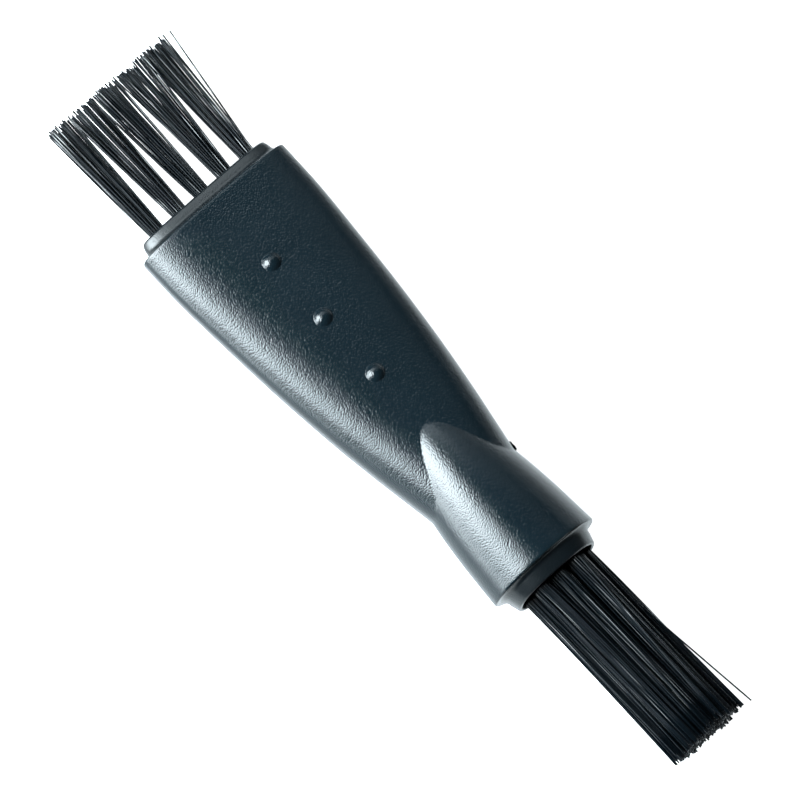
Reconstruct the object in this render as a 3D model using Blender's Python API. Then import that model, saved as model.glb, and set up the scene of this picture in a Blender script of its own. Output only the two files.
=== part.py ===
"""Shaver cleaning brush: a moulded handle with a row of tufts at its wide end and a bundle at its narrow end.

Metres, +Z up. The brush lies level with its broad faces up and down. +X runs from the wide end to the
narrow end, and the origin is the middle of the whole brush. Inside this file, positions along the handle
are counted from the wide shoulder, the step face where the paddle drops to its collar.
"""
import math
import random

import bmesh
import bpy
from mathutils import Vector
from mathutils.geometry import delaunay_2d_cdt

# Paddle
PADDLE_LENGTH = 0.03705
PADDLE_WIDTH = 0.0180
WAIST_WIDTH = 0.01075
PADDLE_END_THICKNESS = 0.0050
PADDLE_WAIST_THICKNESS = 0.0071
PADDLE_EDGE_RADIUS = 0.0002
PADDLE_END_SQUARENESS = 3.0
PADDLE_WAIST_SQUARENESS = 2.4
# each pair: way from the wide shoulder to the waist, way from the waist's width to the end's
PADDLE_OUTLINE_SHARES = (
    (0.0, 1.0), (0.143, 0.983), (0.302, 0.883), (0.49, 0.733), (0.679, 0.521),
    (0.828, 0.3), (0.936, 0.112), (1.0, 0.0), (1.12, -0.19),
)

# Barrel, a slightly flared body that rises out of the paddle in a long round nose. Its width and
# height at the waist are those of the straight body, before the nose rounds it off
BARREL_LENGTH = 0.0106
BARREL_WAIST_WIDTH = 0.01124
BARREL_WAIST_HEIGHT = 0.0090
BARREL_EDGE_RADIUS = 0.0002
BARREL_SQUARENESS = 2.4
NOSE_LENGTH = 0.0184
NOSE_END_GAP = 0.0025
NOSE_WIDTH_POWER = 2.3
NOSE_HEIGHT_POWER = 2.9

# Collars, the stubs that stick out of the two shoulders. A step is the shoulder's own width
WIDE_COLLAR_LENGTH = 0.0015
WIDE_SIDE_STEP = 0.00115
WIDE_FACE_STEP = 0.00085
WIDE_COLLAR_TAPER = 0.0001
WIDE_ROOT_RADIUS = 0.00025
WIDE_COLLAR_SQUARENESS = 3.2
NARROW_COLLAR_LENGTH = 0.0018
NARROW_SIDE_STEP = 0.00143
NARROW_FACE_STEP = 0.0010
NARROW_COLLAR_TAPER = 0.00025
NARROW_ROOT_RADIUS = 0.0003
NARROW_COLLAR_SQUARENESS = 2.5
COLLAR_LIP_RADIUS = 0.0002
MOUTH_WALL = 0.0004
MOUTH_DEPTH = 0.0008

# Grip dots and gate mark
DOT_COUNT = 3
DOT_PITCH = 0.00745
DOT_FIRST = 0.0086
DOT_DIAMETER = 0.00195
DOT_HEIGHT = 0.00045
DOT_ROOT = 0.0006
GATE_LENGTH = 0.0011
GATE_STAND = 0.00025
GATE_HEIGHT = 0.0005
GATE_ROOT = 0.0008

# Tufts
HOLE_DIAMETER = 0.00186
HOLE_DEPTH = 0.0060
TUFT_CLEARANCE = 0.00008
PLUG_SUNK = 0.00025
STRAND_MARGIN = 0.00003
WIDE_TUFT_COUNT = 5
WIDE_SIDE_WALL = 0.00112
WIDE_BRISTLE_LENGTH = 0.01465
WIDE_FAN_SHARE = 1.035
WIDE_TIP_SPREAD_SHARE = 1.6
WIDE_STRAND_RADIUS = 0.0001
WIDE_STRAND_RINGS = 3
WIDE_RAGGED_SHARE = 0.09
# each tuft's extra lean towards +Y at its tips, as a share of the tips' pitch
WIDE_LEAN_SHARES = (0.0, 0.04, -0.04, 0.05, -0.02)
NARROW_ROW_COUNTS = (3, 4, 3)
NARROW_TUFT_PITCH = 0.00215
NARROW_ROW_PITCH = 0.0019
NARROW_SIDE_WALL = 0.0007
NARROW_FACE_WALL = 0.00097
NARROW_BRISTLE_LENGTH = 0.0212
NARROW_FAN_SHARE = 0.99
NARROW_TIP_SPREAD_SHARE = 1.18
NARROW_TIP_LEAN = 0.0004
NARROW_STRAND_RADIUS = 0.00013
NARROW_STRAND_RINGS = 2
NARROW_RAGGED_SHARE = 0.06
STRAND_SIDES = 3
JITTER_SHARE = 0.15

# Anchors, the flat metal pieces that the tufts are folded round
ANCHOR_BITE = 0.00012
ANCHOR_THICKNESS = 0.00025
ANCHOR_DEPTH = 0.0013
ANCHOR_CHAMFER = 0.00025
ANCHOR_CLEARANCE = 0.00008
FOLD_THICKNESS = 0.0005

# How finely round shapes are cut
SECTION_POINTS = 48
ROUND_STEPS = 3
PADDLE_STATIONS = 18
NOSE_STATIONS = 12
HOLE_POINTS = 16
DOT_POINTS = 16
DOT_RINGS = 4
OVERRUN = 0.0005

WIDE_COLLAR_WIDTH = PADDLE_WIDTH - 2 * WIDE_SIDE_STEP
WIDE_COLLAR_HEIGHT = PADDLE_END_THICKNESS - 2 * WIDE_FACE_STEP
WIDE_TUFT_PITCH = (WIDE_COLLAR_WIDTH - 2 * WIDE_SIDE_WALL - HOLE_DIAMETER) / (WIDE_TUFT_COUNT - 1)
NARROW_BUNDLE_WIDTH = NARROW_TUFT_PITCH * (max(NARROW_ROW_COUNTS) - 1) + HOLE_DIAMETER
NARROW_BUNDLE_HEIGHT = NARROW_ROW_PITCH * (len(NARROW_ROW_COUNTS) - 1) + HOLE_DIAMETER
NARROW_COLLAR_WIDTH = NARROW_BUNDLE_WIDTH + 2 * NARROW_SIDE_WALL
NARROW_COLLAR_HEIGHT = NARROW_BUNDLE_HEIGHT + 2 * NARROW_FACE_WALL
BARREL_END_WIDTH = NARROW_COLLAR_WIDTH + 2 * NARROW_SIDE_STEP
BARREL_END_HEIGHT = NARROW_COLLAR_HEIGHT + 2 * NARROW_FACE_STEP
WIDE_RIM_X = -WIDE_COLLAR_LENGTH
NARROW_SHOULDER_X = PADDLE_LENGTH + BARREL_LENGTH
NARROW_RIM_X = NARROW_SHOULDER_X + NARROW_COLLAR_LENGTH
NOSE_FULL_X = NARROW_SHOULDER_X - NOSE_END_GAP
MOUTH_FLOOR_X = NARROW_RIM_X - MOUTH_DEPTH
WIDE_TIP_X = WIDE_RIM_X - WIDE_BRISTLE_LENGTH
NARROW_TIP_X = NARROW_RIM_X + NARROW_BRISTLE_LENGTH
MIDDLE_X = (WIDE_TIP_X + NARROW_TIP_X) / 2
PLUG_RADIUS = HOLE_DIAMETER / 2 - TUFT_CLEARANCE
WIDE_STRAND_PITCH = (PLUG_RADIUS - WIDE_STRAND_RADIUS - STRAND_MARGIN) / WIDE_STRAND_RINGS
NARROW_STRAND_PITCH = (PLUG_RADIUS - NARROW_STRAND_RADIUS - STRAND_MARGIN) / NARROW_STRAND_RINGS
ANCHOR_WIDTH = HOLE_DIAMETER + 2 * ANCHOR_BITE
ANCHOR_MIDDLE_DEPTH = HOLE_DEPTH - TUFT_CLEARANCE - FOLD_THICKNESS - ANCHOR_CLEARANCE - ANCHOR_DEPTH / 2


def clear_scene():
    for thing in list(bpy.data.objects):
        bpy.data.objects.remove(thing, do_unlink=True)


def material(name, color, roughness, metallic=0.0):
    made = bpy.data.materials.new(name)
    made.use_nodes = True
    shader = made.node_tree.nodes["Principled BSDF"]
    shader.inputs["Base Color"].default_value = (*color, 1.0)
    shader.inputs["Roughness"].default_value = roughness
    shader.inputs["Metallic"].default_value = metallic
    return made


def new_object(name, work, finish=None):
    """Turns a bmesh, drawn from the wide shoulder, into a smooth object of the brush's own frame."""
    bmesh.ops.translate(work, verts=work.verts, vec=Vector((-MIDDLE_X, 0, 0)))
    bmesh.ops.recalc_face_normals(work, faces=work.faces)
    mesh = bpy.data.meshes.new(name)
    work.to_mesh(mesh)
    work.free()
    made = bpy.data.objects.new(name, mesh)
    bpy.context.scene.collection.objects.link(made)
    if finish:
        mesh.materials.append(finish)
    mesh.shade_smooth()
    mesh.set_sharp_from_angle(angle=math.radians(35))
    return made


def helper(made):
    made.hide_render = True
    made.display_type = "WIRE"
    return made


def boolean(target, tool, operation):
    cut = target.modifiers.new(operation.lower(), "BOOLEAN")
    cut.operation = operation
    cut.solver = "EXACT"
    cut.object = tool


def smooth_value(points, at):
    """Reads a smooth curve through the points, each a pair of place and value."""
    last = len(points) - 1
    i = 0
    while i < last - 1 and at > points[i + 1][0]:
        i += 1

    def slope(k):
        low, high = max(k - 1, 0), min(k + 1, last)
        return (points[high][1] - points[low][1]) / (points[high][0] - points[low][0])

    (x0, y0), (x1, y1) = points[i], points[i + 1]
    span = x1 - x0
    t = (at - x0) / span
    start = (2 * t**3 - 3 * t**2 + 1) * y0 + (t**3 - 2 * t**2 + t) * span * slope(i)
    return start + (3 * t**2 - 2 * t**3) * y1 + (t**3 - t**2) * span * slope(i + 1)


def section(half_width, half_height, squareness):
    """Points of a rounded section: an ellipse at squareness 2, and squarer above it."""
    points = []
    for k in range(SECTION_POINTS):
        turn = math.tau * k / SECTION_POINTS
        c, s = math.cos(turn), math.sin(turn)
        y = half_width * math.copysign(abs(c) ** (2 / squareness), c) if abs(c) > 1e-9 else 0
        z = half_height * math.copysign(abs(s) ** (2 / squareness), s) if abs(s) > 1e-9 else 0
        points.append((y, z))
    return points


def loft(stations):
    """A closed skin over stations of x, half width, half height and squareness."""
    work = bmesh.new()
    rings = []
    for x, half_width, half_height, squareness in stations:
        rings.append([work.verts.new((x, y, z)) for y, z in section(half_width, half_height, squareness)])
    join_rings(work, rings)
    work.faces.new(rings[0])
    work.faces.new(rings[-1])
    return work


def quarter_round(radius):
    """Pairs of run and inset along an edge rounding, from the flat end face to the side."""
    pairs = []
    for k in range(ROUND_STEPS + 1):
        turn = math.pi / 2 * k / ROUND_STEPS
        pairs.append((radius * (1 - math.cos(turn)), radius * (1 - math.sin(turn))))
    return pairs


def collar_stations(width, height, squareness, length, taper, root):
    """From the rim to the shoulder: a rounded lip, a slight taper and a small root fillet."""
    stations = []
    for run, inset in quarter_round(COLLAR_LIP_RADIUS):
        stations.append((-length + run, width / 2 - inset, height / 2 - inset, squareness))
    wide, high = width / 2 + taper, height / 2 + taper
    for run, rise in reversed(quarter_round(root)):
        stations.append((-run, wide + rise, high + rise, squareness))
    return stations


def paddle_half_width(x):
    share = smooth_value(PADDLE_OUTLINE_SHARES, x / PADDLE_LENGTH)
    return (WAIST_WIDTH + (PADDLE_WIDTH - WAIST_WIDTH) * share) / 2


def paddle_half_height(x):
    way = x / PADDLE_LENGTH
    return (PADDLE_END_THICKNESS + (PADDLE_WAIST_THICKNESS - PADDLE_END_THICKNESS) * way) / 2


def paddle_station(x, inset=0.0):
    way = x / PADDLE_LENGTH
    squareness = PADDLE_END_SQUARENESS + (PADDLE_WAIST_SQUARENESS - PADDLE_END_SQUARENESS) * way
    return (x, paddle_half_width(x) - inset, paddle_half_height(x) - inset, squareness)


def paddle_blank():
    stations = collar_stations(
        WIDE_COLLAR_WIDTH, WIDE_COLLAR_HEIGHT, WIDE_COLLAR_SQUARENESS, WIDE_COLLAR_LENGTH,
        WIDE_COLLAR_TAPER, WIDE_ROOT_RADIUS,
    )
    for run, inset in quarter_round(PADDLE_EDGE_RADIUS):
        stations.append(paddle_station(run, inset))
    start = PADDLE_EDGE_RADIUS
    tail_share = PADDLE_OUTLINE_SHARES[-1][0]
    reach = PADDLE_LENGTH * tail_share - start
    for k in range(1, PADDLE_STATIONS + 1):
        stations.append(paddle_station(start + reach * k / PADDLE_STATIONS))
    return loft(stations)


def barrel_station(x, inset=0.0):
    """The barrel flares slightly to its end, and its nose swells as two rounded curves."""
    way = (x - PADDLE_LENGTH) / BARREL_LENGTH
    half_width = (BARREL_WAIST_WIDTH + (BARREL_END_WIDTH - BARREL_WAIST_WIDTH) * way) / 2
    half_height = (BARREL_WAIST_HEIGHT + (BARREL_END_HEIGHT - BARREL_WAIST_HEIGHT) * way) / 2
    back = max(NOSE_FULL_X - x, 0) / NOSE_LENGTH
    half_width *= (1 - back**NOSE_WIDTH_POWER) ** (1 / NOSE_WIDTH_POWER)
    half_height *= (1 - back**NOSE_HEIGHT_POWER) ** (1 / NOSE_HEIGHT_POWER)
    return (x, half_width - inset, half_height - inset, BARREL_SQUARENESS)


def barrel_blank():
    stations = []
    for k in range(1, NOSE_STATIONS + 1):
        turn = math.pi / 2 * k / NOSE_STATIONS
        stations.append(barrel_station(NOSE_FULL_X - NOSE_LENGTH * math.cos(turn)))
    for run, inset in reversed(quarter_round(BARREL_EDGE_RADIUS)):
        stations.append(barrel_station(NARROW_SHOULDER_X - run, inset))
    collar = collar_stations(
        NARROW_COLLAR_WIDTH, NARROW_COLLAR_HEIGHT, NARROW_COLLAR_SQUARENESS, NARROW_COLLAR_LENGTH,
        NARROW_COLLAR_TAPER, NARROW_ROOT_RADIUS,
    )
    for run, half_width, half_height, squareness in reversed(collar):
        stations.append((NARROW_SHOULDER_X - run, half_width, half_height, squareness))
    return loft(stations)


def mouth_cutter():
    """The shallow pocket inside the narrow collar's rim that the bundle stands in."""
    half_width = NARROW_COLLAR_WIDTH / 2 - MOUTH_WALL
    half_height = NARROW_COLLAR_HEIGHT / 2 - MOUTH_WALL
    ends = (MOUTH_FLOOR_X, NARROW_RIM_X + OVERRUN)
    return loft([(x, half_width, half_height, NARROW_COLLAR_SQUARENESS) for x in ends])


def hole_ring(work, x, y, z, radius):
    ring = []
    for k in range(HOLE_POINTS):
        turn = math.tau * (k + 0.5) / HOLE_POINTS
        ring.append(work.verts.new((x, y + radius * math.cos(turn), z + radius * math.sin(turn))))
    return ring


def join_rings(work, rings):
    count = len(rings[0])
    for near, far in zip(rings, rings[1:]):
        for k in range(count):
            following = (k + 1) % count
            work.faces.new((near[k], near[following], far[following], far[k]))


def dot_blank():
    """The three domes, each a shallow cap of a ball on a short root that sinks into the paddle."""
    work = bmesh.new()
    foot = DOT_DIAMETER / 2
    ball = (foot**2 + DOT_HEIGHT**2) / (2 * DOT_HEIGHT)
    reach = math.asin(foot / ball)
    for number in range(DOT_COUNT):
        x = DOT_FIRST + DOT_PITCH * number
        level = paddle_half_height(x) + DOT_HEIGHT - ball
        rings = []
        for k in range(1, DOT_RINGS + 1):
            turn = reach * k / DOT_RINGS
            radius, z = ball * math.sin(turn), level + ball * math.cos(turn)
            rings.append([
                work.verts.new((x + radius * math.cos(a), radius * math.sin(a), z))
                for a in (math.tau * i / DOT_POINTS for i in range(DOT_POINTS))
            ])
        root = [work.verts.new(v.co - Vector((0, 0, DOT_ROOT))) for v in rings[-1]]
        join_rings(work, rings + [root])
        crown = work.verts.new((x, 0, level + ball))
        for k in range(DOT_POINTS):
            work.faces.new((crown, rings[0][k], rings[0][(k + 1) % DOT_POINTS]))
        work.faces.new(root)
    return work


def box(work, low, high):
    made = bmesh.ops.create_cube(work, size=1.0)
    size = [b - a for a, b in zip(low, high)]
    middle = [(a + b) / 2 for a, b in zip(low, high)]
    bmesh.ops.scale(work, vec=Vector(size), verts=made["verts"])
    bmesh.ops.translate(work, vec=Vector(middle), verts=made["verts"])


def gate_blank():
    """The stub left on the waist where the plastic entered the mould."""
    work = bmesh.new()
    skin = paddle_half_width(PADDLE_LENGTH)
    low = (PADDLE_LENGTH - GATE_LENGTH / 2, skin - GATE_ROOT, -GATE_HEIGHT / 2)
    box(work, low, (PADDLE_LENGTH + GATE_LENGTH / 2, skin + GATE_STAND, GATE_HEIGHT / 2))
    return work


def wide_places():
    middle = (WIDE_TUFT_COUNT - 1) / 2
    return [(WIDE_TUFT_PITCH * (k - middle), 0.0) for k in range(WIDE_TUFT_COUNT)]


def narrow_places():
    places = []
    middle_row = (len(NARROW_ROW_COUNTS) - 1) / 2
    for row, count in enumerate(NARROW_ROW_COUNTS):
        for k in range(count):
            places.append((NARROW_TUFT_PITCH * (k - (count - 1) / 2), NARROW_ROW_PITCH * (middle_row - row)))
    return places


def mouths():
    """Each tuft hole as the x of its mouth, its way out along X, and its y and z."""
    wide = [(WIDE_RIM_X, -1, y, z) for y, z in wide_places()]
    return wide + [(MOUTH_FLOOR_X, 1, y, z) for y, z in narrow_places()]


def hole_cutter():
    work = bmesh.new()
    for mouth, out, y, z in mouths():
        ends = (mouth - out * HOLE_DEPTH, mouth + out * OVERRUN)
        rings = [hole_ring(work, x, y, z, HOLE_DIAMETER / 2) for x in ends]
        join_rings(work, rings)
        work.faces.new(rings[0])
        work.faces.new(rings[1])
    return work


def anchor_room(mouth, out, y, z, width):
    """The lowest and highest corners of an anchor's place with its clearance."""
    middle = mouth - out * ANCHOR_MIDDLE_DEPTH
    along = ANCHOR_DEPTH / 2 + ANCHOR_CLEARANCE
    across = ANCHOR_THICKNESS / 2 + ANCHOR_CLEARANCE
    return (middle - along, y - across, z - width / 2), (middle + along, y + across, z + width / 2)


def slot_cutter():
    work = bmesh.new()
    for mouth, out, y, z in mouths():
        box(work, *anchor_room(mouth, out, y, z, ANCHOR_WIDTH + 2 * ANCHOR_CLEARANCE))
    return work


def make_handle(plastic):
    handle = new_object("handle", paddle_blank(), plastic)
    boolean(handle, helper(new_object("barrel_form", barrel_blank())), "UNION")
    boolean(handle, helper(new_object("dot_form", dot_blank())), "UNION")
    boolean(handle, helper(new_object("gate_form", gate_blank())), "UNION")
    boolean(handle, helper(new_object("mouth_form", mouth_cutter())), "DIFFERENCE")
    boolean(handle, helper(new_object("hole_form", hole_cutter())), "DIFFERENCE")
    boolean(handle, helper(new_object("slot_form", slot_cutter())), "DIFFERENCE")


def strand_places(rings, pitch):
    """Hexagonal packing: one strand in the middle and six more in each ring round it."""
    places = [(0.0, 0.0)]
    for ring in range(1, rings + 1):
        for side in range(6):
            start, end = math.tau * side / 6, math.tau * (side + 1) / 6
            for k in range(ring):
                way = k / ring
                y = pitch * ring * (math.cos(start) * (1 - way) + math.cos(end) * way)
                z = pitch * ring * (math.sin(start) * (1 - way) + math.sin(end) * way)
                places.append((y, z))
    return places


def strand_section(y, z, radius, turn):
    turns = [turn + math.tau * k / STRAND_SIDES for k in range(STRAND_SIDES)]
    return [(y + radius * math.cos(a), z + radius * math.sin(a)) for a in turns]


def make_tuft(name, nylon, mouth, out, place, tip_place, kind, seed):
    """A tuft: strands fused to the packed root that fills the hole round the anchor."""
    rng = random.Random(seed)
    work = bmesh.new()
    y0, z0 = place
    top = mouth - out * PLUG_SUNK
    bottom = mouth - out * (HOLE_DEPTH - TUFT_CLEARANCE)
    foot = hole_ring(work, bottom, y0, z0, PLUG_RADIUS)
    brim = hole_ring(work, top, y0, z0, PLUG_RADIUS)
    join_rings(work, [foot, brim])
    work.faces.new(foot)
    flat = [(v.co.y - y0, v.co.z - z0) for v in brim]
    loops = [list(range(HOLE_POINTS))]
    verts = list(brim)
    reach = kind["length"] + (mouth - top) * out
    jitter = JITTER_SHARE * kind["pitch"]
    places = strand_places(kind["rings"], kind["pitch"])
    longest = rng.randrange(len(places))
    for number, (y, z) in enumerate(places):
        turn = rng.uniform(0, math.tau)
        length = reach * (1 - kind["ragged"] * (rng.random() if number != longest else 0))
        tip_y = tip_place[0] - y0 + y * kind["spread"] + rng.uniform(-jitter, jitter)
        tip_z = tip_place[1] - z0 + z * kind["spread"] + rng.uniform(-jitter, jitter)
        way = length / reach
        low = strand_section(y, z, kind["radius"], turn)
        high = strand_section(y + (tip_y - y) * way, z + (tip_z - z) * way, kind["radius"], turn)
        first = len(flat)
        flat += low
        loops.append(list(range(first, first + STRAND_SIDES)))
        base = [work.verts.new((top, y0 + a, z0 + b)) for a, b in low]
        tip = [work.verts.new((top + out * length, y0 + a, z0 + b)) for a, b in high]
        verts += base
        join_rings(work, [base, tip])
        work.faces.new(tip)
    cap_faces(work, verts, flat, loops)
    return new_object(name, work, nylon)


def cap_faces(work, verts, flat, loops):
    """Fills the root's flat top round the feet of its strands."""
    scale = 1 / PLUG_RADIUS
    points = [Vector((a * scale, b * scale)) for a, b in flat]
    _, _, triangles, origins, _, face_loops = delaunay_2d_cdt(points, [], loops, 1, 1e-7)
    for triangle, inside in zip(triangles, face_loops):
        if len(inside) > 1:
            continue
        work.faces.new([verts[origins[k][0]] for k in triangle])


def make_anchor(name, brass, mouth, out, place):
    """A strip of flat wire, chamfered on the end that is driven in first."""
    work = bmesh.new()
    y, z = place
    middle = mouth - out * ANCHOR_MIDDLE_DEPTH
    driven = middle - out * ANCHOR_DEPTH / 2
    outer = middle + out * ANCHOR_DEPTH / 2
    half, cut = ANCHOR_WIDTH / 2, ANCHOR_CHAMFER
    outline = [(outer, -half), (outer, half), (driven + out * cut, half), (driven, half - cut)]
    outline += [(driven, cut - half), (driven + out * cut, -half)]
    faces = []
    for side in (-ANCHOR_THICKNESS / 2, ANCHOR_THICKNESS / 2):
        faces.append([work.verts.new((x, y + side, z + w)) for x, w in outline])
    join_rings(work, faces)
    work.faces.new(faces[0])
    work.faces.new(faces[1])
    return new_object(name, work, brass)


def window_form(name, mouth, out, place):
    """The gap through a tuft's root that its anchor passes through."""
    work = bmesh.new()
    box(work, *anchor_room(mouth, out, *place, HOLE_DIAMETER + 2 * OVERRUN))
    return helper(new_object(name, work))


def make_end(label, digits, mouth, out, places, tips, kind, nylon, brass):
    for number, (place, tip_place) in enumerate(zip(places, tips), 1):
        tail = str(number).zfill(digits)
        seed = 100 * out + number
        tuft = make_tuft(f"{label}_tuft_{tail}", nylon, mouth, out, place, tip_place, kind, seed)
        boolean(tuft, window_form(f"{label}_window_{tail}", mouth, out, place), "DIFFERENCE")
        make_anchor(f"{label}_anchor_{tail}", brass, mouth, out, place)


def main():
    clear_scene()
    plastic = material("black_plastic", (0.016, 0.022, 0.027), 0.42)
    nylon = material("black_nylon", (0.010, 0.012, 0.015), 0.28)
    brass = material("anchor_brass", (0.72, 0.55, 0.28), 0.30, 1.0)
    make_handle(plastic)
    wide = wide_places()
    middle = (WIDE_TUFT_COUNT - 1) / 2
    tip_pitch = WIDE_TUFT_PITCH * WIDE_FAN_SHARE
    wide_tips = [
        (tip_pitch * (k - middle + WIDE_LEAN_SHARES[k % len(WIDE_LEAN_SHARES)]), 0.0)
        for k in range(WIDE_TUFT_COUNT)
    ]
    wide_kind = {
        "length": WIDE_BRISTLE_LENGTH, "pitch": WIDE_STRAND_PITCH, "radius": WIDE_STRAND_RADIUS,
        "rings": WIDE_STRAND_RINGS, "spread": WIDE_TIP_SPREAD_SHARE, "ragged": WIDE_RAGGED_SHARE,
    }
    make_end("wide", 1, WIDE_RIM_X, -1, wide, wide_tips, wide_kind, nylon, brass)
    narrow = narrow_places()
    narrow_tips = [(y * NARROW_FAN_SHARE + NARROW_TIP_LEAN, z * NARROW_FAN_SHARE) for y, z in narrow]
    narrow_kind = {
        "length": NARROW_BRISTLE_LENGTH + MOUTH_DEPTH, "pitch": NARROW_STRAND_PITCH,
        "radius": NARROW_STRAND_RADIUS, "rings": NARROW_STRAND_RINGS,
        "spread": NARROW_TIP_SPREAD_SHARE, "ragged": NARROW_RAGGED_SHARE,
    }
    make_end("narrow", 2, MOUTH_FLOOR_X, 1, narrow, narrow_tips, narrow_kind, nylon, brass)


main()
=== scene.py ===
# %% [markdown]
# # A shaver cleaning brush
# The brush is one black plastic moulding with bristles at both ends: a flat paddle with a row of five
# tufts, and a round barrel with a dense bundle. A measured model of it is loaded first and stays as it
# is. Each step below then makes one piece or one finish, in metres, where the measured model has it.

# %% Load the measured model
import math
import random

import bmesh
import bpy
import numpy as np
from mathutils import Matrix, Vector
from mathutils.geometry import delaunay_2d_cdt


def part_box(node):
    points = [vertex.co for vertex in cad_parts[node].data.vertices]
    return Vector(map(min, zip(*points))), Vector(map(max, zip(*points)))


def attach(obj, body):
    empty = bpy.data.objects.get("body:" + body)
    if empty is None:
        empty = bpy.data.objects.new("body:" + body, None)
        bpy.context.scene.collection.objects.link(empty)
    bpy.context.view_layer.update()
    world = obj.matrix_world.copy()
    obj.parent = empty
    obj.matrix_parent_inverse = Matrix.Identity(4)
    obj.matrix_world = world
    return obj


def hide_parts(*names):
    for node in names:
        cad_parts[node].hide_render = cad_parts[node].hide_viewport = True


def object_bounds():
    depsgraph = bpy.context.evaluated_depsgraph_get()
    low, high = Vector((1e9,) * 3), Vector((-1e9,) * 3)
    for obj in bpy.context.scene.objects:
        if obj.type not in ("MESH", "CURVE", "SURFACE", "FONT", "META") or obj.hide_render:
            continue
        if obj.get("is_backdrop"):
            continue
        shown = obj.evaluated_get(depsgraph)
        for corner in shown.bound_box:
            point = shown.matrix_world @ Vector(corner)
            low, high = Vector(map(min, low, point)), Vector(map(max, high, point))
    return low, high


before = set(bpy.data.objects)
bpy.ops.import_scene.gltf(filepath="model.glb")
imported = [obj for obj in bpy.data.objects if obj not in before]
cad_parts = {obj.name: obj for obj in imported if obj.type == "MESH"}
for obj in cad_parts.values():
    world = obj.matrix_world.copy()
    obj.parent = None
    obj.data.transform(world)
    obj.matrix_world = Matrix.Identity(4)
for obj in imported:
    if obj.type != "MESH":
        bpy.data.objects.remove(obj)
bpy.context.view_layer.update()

MM = 0.001
rim_low, rim_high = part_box("handle")

# %% [markdown]
# ## Camera
# The photo looks down on the brush from well above its middle with a long lens, so the brush hardly
# narrows with distance. Three turns give the viewing angle: the brush is turned in the picture, its
# narrow end is dipped away and it is tilted a little about its own length. The camera then moves a
# hair's breadth sideways, which puts the brush where the photo has it with no lens shift at all.

# %% Camera
PICTURE_TURN = math.radians(48.916)
PICTURE_DIP = math.radians(10.503)
PICTURE_TILT = math.radians(9.255)
CAMERA_DISTANCE = 716.4 * MM
PIXELS_PER_METRE = 10432.3
PICTURE_PIXELS = 800
SENSOR_WIDTH = 36.0
PICTURE_RIGHT_PIXELS = 1.72
PICTURE_DOWN_PIXELS = 9.06

aim = Matrix.Rotation(PICTURE_DIP, 3, "Y") @ Matrix.Rotation(PICTURE_TILT, 3, "X")
aim = aim @ Matrix.Rotation(PICTURE_TURN, 3, "Z")
to_right, to_top, to_camera = aim.col

camera_data = bpy.data.cameras.new("camera")
camera_data.sensor_width = SENSOR_WIDTH
camera_data.lens = SENSOR_WIDTH * PIXELS_PER_METRE * CAMERA_DISTANCE / PICTURE_PIXELS
camera_data.clip_start = 0.01
camera_data.clip_end = 20.0
camera = bpy.data.objects.new("camera", camera_data)
bpy.context.scene.collection.objects.link(camera)
middle = to_camera * CAMERA_DISTANCE
middle = middle - to_right * (PICTURE_RIGHT_PIXELS / PIXELS_PER_METRE)
middle = middle + to_top * (PICTURE_DOWN_PIXELS / PIXELS_PER_METRE)
camera.matrix_world = Matrix.Translation(middle) @ aim.to_4x4()
bpy.context.scene.camera = camera
print("lens", round(camera_data.lens), "mm, looking from", [round(v, 3) for v in to_camera])

# %% [markdown]
# ## Shader helper
# A finish is a small sum over textures: a grain, less where a collar is smooth, plus a slow change of
# tone. Typed as node links that is hard to read, so one small class wraps a socket and lets Python's
# own signs add the Math nodes. Everything that is not plain arithmetic comes from one method, which
# takes the node's type, its settings and what goes into its sockets.

# %% Shader helper
class Wire:
    """One output of a node, which can be added to, multiplied and so on like a number."""

    def __init__(self, finish, socket):
        self.finish = finish
        self.socket = socket

    def _sum(self, operation, first, second):
        return self.finish.add("ShaderNodeMath", {"operation": operation}, {0: first, 1: second})

    def __add__(self, other):
        return self._sum("ADD", self, other)

    def __radd__(self, other):
        return self._sum("ADD", other, self)

    def __sub__(self, other):
        return self._sum("SUBTRACT", self, other)

    def __rsub__(self, other):
        return self._sum("SUBTRACT", other, self)

    def __mul__(self, other):
        return self._sum("MULTIPLY", self, other)

    def __rmul__(self, other):
        return self._sum("MULTIPLY", other, self)


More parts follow.
